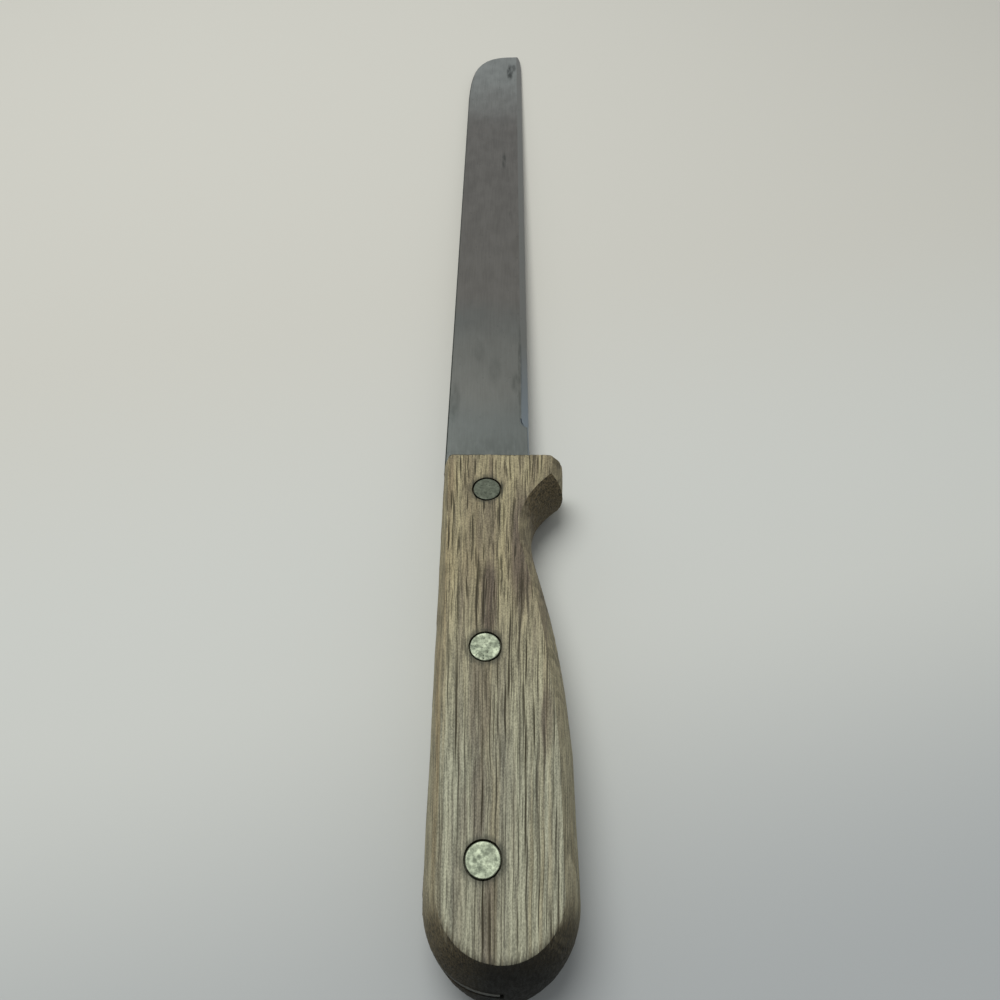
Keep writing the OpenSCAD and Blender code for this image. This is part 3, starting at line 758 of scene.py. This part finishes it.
class KNIFE_OT_handle(Operator):
    """Makes the worn wooden handle from a merged copy of its CAD solid"""
    bl_idname = "knife.handle"
    bl_label = "Handle"

    def execute(self, context):
        sizes = context.scene.knife_handle
        piece = merged_copy("handle", "worn_handle")
        bpy.ops.object.mode_set(mode="EDIT")
        # The upright edges at the two outer corners of the front, which are chains of short edges
        pick(piece, "EDGE", lambda e: all(v.co.y > GRIP_HIGH.y - NEAR for v in e.verts)
             and abs(e.verts[0].co.z - e.verts[1].co.z) > 0.2 * MM
             and e.calc_face_angle(0) > CORNER
             and abs(e.verts[0].co.x) > 13 * MM)
        bpy.ops.mesh.bevel(offset=sizes.corner_wear, segments=5, affect="EDGES")
        # The rims of the rivets' seats and of the tang's slot are worn less than the outside
        pick(piece, "EDGE", lambda e: e.calc_face_angle(0) > math.radians(25) and not sheltered(e))
        bpy.ops.mesh.bevel(offset=sizes.arris_wear, segments=3, affect="EDGES", clamp_overlap=True)
        slice_mesh(piece, 0, GRIP_LOW.x, GRIP_HIGH.x, sizes.mesh_across)
        slice_mesh(piece, 2, GRIP_LOW.z, GRIP_HIGH.z, sizes.mesh_up)
        slice_mesh(piece, 1, GRIP_LOW.y, GRIP_HIGH.y, sizes.mesh_along)
        bpy.ops.object.mode_set(mode="OBJECT")
        relief = piece.modifiers.new("open_grain", "NODES")
        relief.node_group = relief_tree(sizes)
        bpy.ops.object.modifier_apply(modifier=relief.name)
        bpy.ops.object.shade_smooth_by_angle(angle=SOFT_ANGLE)
        finish_piece(piece, dried_hardwood(sizes), "handle_wood", "handle")
        return {"FINISHED"}


class KNIFE_OT_blade(Operator):
    """Makes the worn steel blade with its tang from a merged copy of its CAD solid"""
    bl_idname = "knife.blade"
    bl_label = "Blade"

    def execute(self, context):
        sizes = context.scene.knife_blade
        piece = merged_copy("blade", "worn_blade")
        edit_all()
        # The blank narrows to the tang 0.65 mm in front of the wood. The rounding ends just before that.
        start = GRIP_HIGH.y + 0.75 * MM
        bpy.ops.mesh.bisect(plane_co=(0, start, 0), plane_no=(0, 1, 0))
        # The outline in front of it, but not the sharp cutting edge, which is thinner than the blank
        thick = (BLADE_HIGH.z - BLADE_LOW.z) / 2 - NEAR
        middle = (BLADE_HIGH.z + BLADE_LOW.z) / 2
        pick(piece, "EDGE", lambda e: all(v.co.y > start - NEAR and abs(v.co.z - middle) > thick
                                          for v in e.verts)
             and e.calc_face_angle(0) > CORNER)
        bpy.ops.mesh.bevel(offset=sizes.edge_round, segments=6, affect="EDGES")
        # Merge the slivers that the rounding leaves where it ends
        bpy.ops.mesh.select_all(action="SELECT")
        bpy.ops.mesh.remove_doubles(threshold=0.002 * MM)
        bpy.ops.object.mode_set(mode="OBJECT")
        # The rounding turns 15 degrees from facet to facet and stays smooth; the bevel's arris stays crisp
        bpy.ops.object.shade_smooth_by_angle(angle=math.radians(17))
        flats = piece.modifiers.new("flat_faces", "WEIGHTED_NORMAL")
        flats.keep_sharp = True
        bpy.ops.object.modifier_apply(modifier=flats.name)
        finish_piece(piece, worn_stainless(sizes), "blade_steel", "blade")
        return {"FINISHED"}


def head_blank(name, centre, radius, sizes):
    """A round rivet head as a fresh disc at its size and place, left in edit mode."""
    bpy.ops.object.select_all(action="DESELECT")
    bpy.ops.mesh.primitive_cylinder_add(
        vertices=sizes.sides, radius=radius, depth=sizes.head_thickness, location=centre)
    piece = bpy.context.object
    piece.name = name
    piece.data.name = name
    bpy.ops.object.transform_apply(location=True, rotation=True, scale=True)
    bpy.ops.object.mode_set(mode="EDIT")
    return piece


# A head's whole face is larger than this, in square metres, and is divided into this many rings
LEAST_FACE = 1e-5
FACE_RINGS = 7


def worn_face(piece, side, height, radius, sizes):
    """Rounds the rim of a head's outer face, divides the face into rings and dents it slightly."""
    pick(piece, "EDGE", lambda e: all(abs(v.co.z - height) < NEAR for v in e.verts)
         and e.calc_face_angle(0) > CORNER
         and e.calc_length() < 1 * MM)
    bpy.ops.mesh.bevel(offset=sizes.rim_round, segments=4, affect="EDGES")
    pick(piece, "FACE", lambda f: f.normal.z * side > 0.99
         and abs(f.calc_center_median().z - height) < NEAR and f.calc_area() > LEAST_FACE)
    for number in range(FACE_RINGS):
        bpy.ops.mesh.inset(thickness=(radius - sizes.rim_round) / (FACE_RINGS + 1))
    bpy.ops.mesh.poke()
    bpy.ops.object.mode_set(mode="OBJECT")
    dents = bpy.data.textures.new(piece.name + "_dents", "CLOUDS")
    dents.noise_scale = 1.6 * MM
    dents.noise_depth = 2
    face = piece.vertex_groups.new(name="face")
    face.add([v.index for v in piece.data.vertices if abs(v.co.z - height) < NEAR], 1.0, "REPLACE")
    press = piece.modifiers.new("dents", "DISPLACE")
    press.texture = dents
    press.texture_coords = "LOCAL"
    press.vertex_group = face.name
    press.direction = "Z"
    press.mid_level = 0.5
    press.strength = sizes.dent_depth
    bpy.ops.object.modifier_apply(modifier=press.name)
    piece.vertex_groups.clear()
    bpy.ops.object.shade_smooth_by_angle(angle=SOFT_ANGLE)


def moved_copy(piece, name, shift):
    """A copy of a finished piece with its own mesh, moved within that mesh."""
    twin = piece.copy()
    twin.data = piece.data.copy()
    twin.name = name
    twin.data.name = name
    bpy.context.scene.collection.objects.link(twin)
    only(twin)
    edit_all()
    bpy.ops.transform.translate(value=shift)
    bpy.ops.object.mode_set(mode="OBJECT")
    return twin


class KNIFE_OT_rivets(Operator):
    """Makes the three rivets, each a post whose shank is pressed into a tubular socket"""
    bl_idname = "knife.rivets"
    bl_label = "Rivets"

    def execute(self, context):
        sizes = context.scene.knife_rivets
        low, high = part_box("front_rivet_post")
        axis = RIVET_AXES[0]
        radius = (high.x - low.x) / 2
        half = Vector((0, 0, sizes.head_thickness / 2))
        post = head_blank("front_rivet_pin", Vector((axis.x, axis.y, high.z)) - half, radius, sizes)
        pick(post, "FACE", lambda f: f.normal.z < -0.99)
        bpy.ops.mesh.inset(thickness=radius - sizes.shank_radius)
        shank = high.z - low.z - sizes.head_thickness
        bpy.ops.mesh.extrude_region_move(TRANSFORM_OT_translate={"value": (0, 0, -shank)})
        worn_face(post, 1, high.z, radius, sizes)

        low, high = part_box("front_rivet_socket")
        socket = head_blank("front_rivet_tube", Vector((axis.x, axis.y, low.z)) + half, radius, sizes)
        pick(socket, "FACE", lambda f: f.normal.z > 0.99)
        bpy.ops.mesh.inset(thickness=radius - sizes.tube_radius)
        tube = high.z - low.z - sizes.head_thickness
        bpy.ops.mesh.extrude_region_move(TRANSFORM_OT_translate={"value": (0, 0, tube)})
        bpy.ops.mesh.inset(thickness=sizes.tube_radius - sizes.shank_radius - sizes.bore_play)
        bpy.ops.mesh.extrude_region_move(TRANSFORM_OT_translate={"value": (0, 0, -tube)})
        worn_face(socket, -1, low.z, radius, sizes)

        rubbed = nickel_alloy("rubbed_nickel_alloy", sizes, True)
        dull = nickel_alloy("dull_nickel_alloy", sizes, False)
        for place, spot in zip(RIVET_PLACES, RIVET_AXES):
            finish = dull if place == "front" else rubbed
            for part, name, node in ((post, "pin", "post"), (socket, "tube", "socket")):
                piece = part
                if place != "front":
                    piece = moved_copy(part, f"{place}_rivet_{name}", (spot.x - axis.x, spot.y - axis.y, 0))
                finish_piece(piece, finish, "rivet_alloy", f"{place}_rivet_{node}")
        return {"FINISHED"}


FLOOR_WIDTH = 6
# Where the soft lamp stands, what it shines on and how wide it is
LAMP_PLACE = (-0.2, 0.15, 0.86)
LAMP_AIM = (0, -0.08, 0)
LAMP_WIDTH = 0.65
# How much of the fill light comes from the near side and from the far side
FILL_NEAR, FILL_FAR = 0.5, 1.5
# Width of the camera's sensor, in millimetres, and how near it sees
SENSOR_WIDTH = 36
NEAREST_SEEN = 0.01


class KNIFE_OT_stage(Operator):
    """Sets the pale floor that the knife lies on, the soft light and the camera"""
    bl_idname = "knife.stage"
    bl_label = "Stage"

    def execute(self, context):
        settings = context.scene.knife_stage
        # The blade outweighs the handle, so the knife rests on the handle's front arris and on its tip
        slope = math.atan2(BLADE_LOW.z, BLADE_HIGH.y - GRIP_HIGH.y)
        bpy.ops.object.select_all(action="DESELECT")
        bpy.ops.mesh.primitive_plane_add(size=FLOOR_WIDTH, location=(0, 0, 0))
        floor = bpy.context.object
        floor.name = "floor"
        edit_all()
        bpy.ops.transform.rotate(value=-slope, orient_axis="X", center_override=(0, 0, 0))
        drop = -GRIP_HIGH.y * math.tan(slope)
        bpy.ops.transform.translate(value=(0, 0, drop))
        bpy.ops.object.mode_set(mode="OBJECT")
        floor.data.materials.append(painted_floor(settings))

        bpy.ops.object.light_add(type="AREA", location=LAMP_PLACE)
        lamp = bpy.context.object
        lamp.name = "soft_lamp"
        lamp.data.shape = "DISK"
        lamp.data.size = LAMP_WIDTH
        lamp.data.energy = settings.lamp_power
        aim = Vector(LAMP_AIM) - lamp.location
        lamp.rotation_euler = aim.to_track_quat("-Z", "Y").to_euler()

        # The fill comes less from the near side, where whoever took the photograph stood
        world = bpy.data.worlds.new("soft_fill")
        world.use_nodes = True
        tree = world.node_tree
        tree.nodes.clear()
        around = add(tree, "ShaderNodeTexCoord", output="Generated")
        away = add(tree, SEPARATE, {0: around}, "Y")
        level = add(tree, MAP_RANGE, {"Value": away, "From Min": -1, "To Min": FILL_NEAR * settings.fill,
                                      "To Max": FILL_FAR * settings.fill})
        sky = add(tree, "ShaderNodeBackground", {"Color": linear("#f2f4f8"), "Strength": level})
        add(tree, "ShaderNodeOutputWorld", {"Surface": sky})
        context.scene.world = world

        eye = bpy.data.cameras.new("camera")
        camera = bpy.data.objects.new("camera", eye)
        context.scene.collection.objects.link(camera)
        eye.lens = settings.lens
        eye.sensor_width = SENSOR_WIDTH
        eye.clip_start = NEAREST_SEEN
        camera.location = settings.eye
        camera.rotation_euler = (math.radians(90) - settings.pitch, 0, settings.turn)
        context.scene.camera = camera
        context.scene.view_settings.view_transform = "Standard"
        return {"FINISHED"}


class KNIFE_PT_build(Panel):
    """Lists the knife's pieces and their sizes and colours"""
    bl_label = "Old Slicing Knife"
    bl_space_type = "VIEW_3D"
    bl_region_type = "UI"
    bl_category = "Knife"

    def draw(self, context):
        for operator, (group, _) in zip(OPERATORS, GROUPS):
            box = self.layout.box()
            box.operator(operator.bl_idname)
            settings = getattr(context.scene, group)
            for name in settings.__annotations__:
                box.prop(settings, name)


GROUPS = (("knife_handle", KnifeHandleSettings), ("knife_blade", KnifeBladeSettings),
          ("knife_rivets", KnifeRivetSettings), ("knife_stage", KnifeStageSettings))
OPERATORS = (KNIFE_OT_handle, KNIFE_OT_blade, KNIFE_OT_rivets, KNIFE_OT_stage)


def register():
    for name, group in GROUPS:
        bpy.utils.register_class(group)
        setattr(bpy.types.Scene, name, PointerProperty(type=group))
    for made in OPERATORS + (KNIFE_PT_build,):
        bpy.utils.register_class(made)


def unregister():
    for made in (KNIFE_PT_build,) + OPERATORS:
        bpy.utils.unregister_class(made)
    for name, group in GROUPS:
        delattr(bpy.types.Scene, name)
        bpy.utils.unregister_class(group)


def main():
    """Builds the knife and its stage."""
    register()
    bpy.ops.knife.handle()
    bpy.ops.knife.blade()
    bpy.ops.knife.rivets()
    bpy.ops.knife.stage()


if __name__ == "__main__":
    main()
